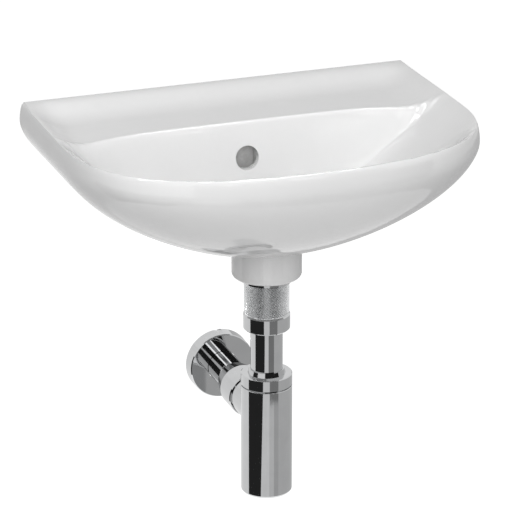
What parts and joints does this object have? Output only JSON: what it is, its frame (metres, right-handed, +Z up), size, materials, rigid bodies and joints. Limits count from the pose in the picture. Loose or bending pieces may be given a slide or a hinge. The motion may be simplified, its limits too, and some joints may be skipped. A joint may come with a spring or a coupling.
{
  "type": "wall hung basin",
  "caption": "White ceramic wall hung hand basin with a D-shaped bowl, overflow, push plug waste, bottle trap, outlet tube and wall rosette.",
  "frame": {"origin": "midway between the two wall screw holes, on the wall face of the basin", "axes": "+Y points into the wall, +X is to the right of a person who faces the wall, and +Z is up"},
  "size_m": [0.4091, 0.328, 0.386],
  "materials": {
    "glazed_ceramic": "white gloss glaze",
    "polished_chrome": "polished chrome plate",
    "knurled_chrome": "finely knurled chrome plate",
    "brass": "turned",
    "black_rubber": "moulded",
    "white_plastic": "moulded",
    "spring_steel": "drawn wire"
  },
  "bodies": {
    "basin_and_trap": {"basin": "glazed_ceramic", "waste_body": "polished_chrome", "waste_flange_seal": "black_rubber", "plug_catch": "white_plastic", "plug_spring": "spring_steel", "boss_seal": "black_rubber", "boss_flange": "polished_chrome", "knurled_sleeve": "knurled_chrome", "tail_nut": "polished_chrome", "tail_seal": "black_rubber", "inlet_tube": "polished_chrome", "gland_ring": "polished_chrome", "trap_cap": "polished_chrome", "trap_cap_seal": "black_rubber", "trap_body": "polished_chrome", "outlet_nut": "polished_chrome", "outlet_seal": "black_rubber", "outlet_tube": "polished_chrome"},
    "push_plug_set": {"push_plug": "polished_chrome", "push_plug_seal": "black_rubber", "push_plug_stem": "brass"},
    "cleaning_plug_set": {"cleaning_plug": "polished_chrome", "cleaning_plug_seal": "black_rubber"},
    "wall_cover": {"wall_rosette": "polished_chrome", "rosette_grip": "black_rubber"}
  },
  "joints": [
    {"name": "push_plug_lift", "type": "slide", "parent": "basin_and_trap", "child": "push_plug_set", "axis": [0, 0, 1], "range_m": [0, 0.008], "deforming": ["plug_spring"]},
    {"name": "cleaning_plug_drop", "type": "slide", "parent": "basin_and_trap", "child": "cleaning_plug_set", "axis": [0, 0, -1], "range_m": [0, 0.0075]},
    {"name": "wall_rosette_slide", "type": "slide", "parent": "basin_and_trap", "child": "wall_cover", "axis": [0, -1, 0], "range_m": [0, 0.034]}
  ]
}
